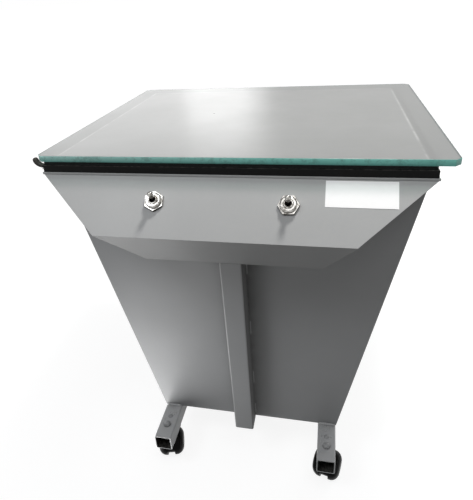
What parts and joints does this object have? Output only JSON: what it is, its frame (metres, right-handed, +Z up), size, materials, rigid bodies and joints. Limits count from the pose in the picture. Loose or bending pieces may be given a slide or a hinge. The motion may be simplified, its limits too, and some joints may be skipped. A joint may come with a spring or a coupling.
{
  "type": "screen printing exposure unit",
  "caption": "Free-standing light table on casters: a glass plate over a sheet-metal hopper with a lamp inside and a sloping switch console in front",
  "frame": {"origin": "on the floor below the middle of the unit's bounding box", "axes": "+X to the unit's right seen from the console, +Y to its back, +Z up"},
  "size_m": [0.508, 0.4786, 0.605],
  "materials": {
    "glass": "clear float glass, ground edges",
    "foam": "closed-cell foam",
    "rubber": "matte moulded rubber",
    "paint": "light grey satin enamel",
    "console_paint": "light grey satin enamel",
    "label": "bare white sticker",
    "phenolic": "moulded phenolic",
    "nickel": "bright nickel plate",
    "steel": "zinc plated",
    "ceramic": "glazed ceramic",
    "brass": "pressed brass",
    "bulb_glass": "frosted glass",
    "reflector": "spun, bright inside",
    "black_plastic": "glossy moulded nylon",
    "dark_wire": "insulated wire",
    "pale_wire": "heat-proof insulated wire"
  },
  "bodies": {
    "unit": {"foam_strip": "foam", "rubber_strip": "rubber", "wire_grommet": "rubber", "rim_frame": "paint", "hopper_front": "paint", "hopper_rear": "paint", "hopper_left": "paint", "hopper_right": "paint", "front_post": "paint", "skid_left": "paint", "skid_right": "paint", "base_plate": "paint", "vent_baffle": "paint", "caster_brackets": "paint", "caster_fixings": "paint", "console_cover": "console_paint", "console_end_left": "console_paint", "console_end_right": "console_paint", "label_plate": "label", "switch_housings": "phenolic", "switch_bushings": "nickel", "switch_nuts": "nickel", "switch_rings": "nickel", "lamp_bracket": "steel", "reflector_standoffs": "steel", "inner_screws": "steel", "fan_screws": "steel", "fan_guard": "steel", "caster_stems": "steel", "lampholder": "ceramic", "terminal_block": "ceramic", "lamp_cap": "brass", "lamp_bulb": "bulb_glass", "lamp_reflector": "reflector", "fan_frame": "black_plastic", "gland_body": "black_plastic", "gland_nuts": "black_plastic", "switch_wires": "dark_wire", "fan_wires": "dark_wire", "lamp_wires": "pale_wire"},
    "glass": {"glass_plate": "glass"},
    "lever_left": {"toggle_lever_left": "nickel"},
    "lever_right": {"toggle_lever_right": "nickel"},
    "fan_wheel": {"fan_rotor": "black_plastic"},
    "caster_front_left": {"caster_fork_front_left": "black_plastic", "axle_front_left": "steel"},
    "wheel_front_left_outer": {"wheel_front_left_outer": "black_plastic"},
    "wheel_front_left_inner": {"wheel_front_left_inner": "black_plastic"},
    "caster_front_right": {"caster_fork_front_right": "black_plastic", "axle_front_right": "steel"},
    "wheel_front_right_outer": {"wheel_front_right_outer": "black_plastic"},
    "wheel_front_right_inner": {"wheel_front_right_inner": "black_plastic"},
    "caster_rear_left": {"caster_fork_rear_left": "black_plastic", "axle_rear_left": "steel"},
    "wheel_rear_left_outer": {"wheel_rear_left_outer": "black_plastic"},
    "wheel_rear_left_inner": {"wheel_rear_left_inner": "black_plastic"},
    "caster_rear_right": {"caster_fork_rear_right": "black_plastic", "axle_rear_right": "steel"},
    "wheel_rear_right_outer": {"wheel_rear_right_outer": "black_plastic"},
    "wheel_rear_right_inner": {"wheel_rear_right_inner": "black_plastic"}
  },
  "joints": [
    {"name": "glass_lift", "type": "slide", "parent": "unit", "child": "glass", "axis": [0, 0, 1], "range_m": [0, 0.12]},
    {"name": "switch_left", "type": "hinge", "parent": "unit", "child": "lever_left", "pos_m": [-0.09, -0.20883, 0.55834], "axis": [1, 0, 0], "range_deg": [0, 24]},
    {"name": "switch_right", "type": "hinge", "parent": "unit", "child": "lever_right", "pos_m": [0.0725, -0.20883, 0.55834], "axis": [1, 0, 0], "range_deg": [0, 24]},
    {"name": "fan_spin", "type": "hinge", "parent": "unit", "child": "fan_wheel", "pos_m": [-0.007, 0.11725, 0.0755], "axis": [0, 0, 1], "continuous": true},
    {"name": "swivel_front_left", "type": "hinge", "parent": "unit", "child": "caster_front_left", "pos_m": [-0.148, -0.15275, 0.05], "axis": [0, 0, 1], "continuous": true},
    {"name": "roll_front_left_outer", "type": "hinge", "parent": "caster_front_left", "child": "wheel_front_left_outer", "pos_m": [-0.15187, -0.13723, 0.025], "axis": [0.9703, 0.2419, 0], "continuous": true},
    {"name": "roll_front_left_inner", "type": "hinge", "parent": "caster_front_left", "child": "wheel_front_left_inner", "pos_m": [-0.15187, -0.13723, 0.025], "axis": [0.9703, 0.2419, 0], "continuous": true},
    {"name": "swivel_front_right", "type": "hinge", "parent": "unit", "child": "caster_front_right", "pos_m": [0.134, -0.15275, 0.05], "axis": [0, 0, 1], "continuous": true},
    {"name": "roll_front_right_outer", "type": "hinge", "parent": "caster_front_right", "child": "wheel_front_right_outer", "pos_m": [0.13787, -0.13723, 0.025], "axis": [0.9703, -0.2419, 0], "continuous": true},
    {"name": "roll_front_right_inner", "type": "hinge", "parent": "caster_front_right", "child": "wheel_front_right_inner", "pos_m": [0.13787, -0.13723, 0.025], "axis": [0.9703, -0.2419, 0], "continuous": true},
    {"name": "swivel_rear_left", "type": "hinge", "parent": "unit", "child": "caster_rear_left", "pos_m": [-0.148, 0.19625, 0.05], "axis": [0, 0, 1], "continuous": true},
    {"name": "roll_rear_left_outer", "type": "hinge", "parent": "caster_rear_left", "child": "wheel_rear_left_outer", "pos_m": [-0.1455, 0.21205, 0.025], "axis": [0.9877, -0.1564, 0], "continuous": true},
    {"name": "roll_rear_left_inner", "type": "hinge", "parent": "caster_rear_left", "child": "wheel_rear_left_inner", "pos_m": [-0.1455, 0.21205, 0.025], "axis": [0.9877, -0.1564, 0], "continuous": true},
    {"name": "swivel_rear_right", "type": "hinge", "parent": "unit", "child": "caster_rear_right", "pos_m": [0.134, 0.19625, 0.05], "axis": [0, 0, 1], "continuous": true},
    {"name": "roll_rear_right_outer", "type": "hinge", "parent": "caster_rear_right", "child": "wheel_rear_right_outer", "pos_m": [0.13067, 0.2119, 0.025], "axis": [0.9781, 0.2079, 0], "continuous": true},
    {"name": "roll_rear_right_inner", "type": "hinge", "parent": "caster_rear_right", "child": "wheel_rear_right_inner", "pos_m": [0.13067, 0.2119, 0.025], "axis": [0.9781, 0.2079, 0], "continuous": true}
  ]
}
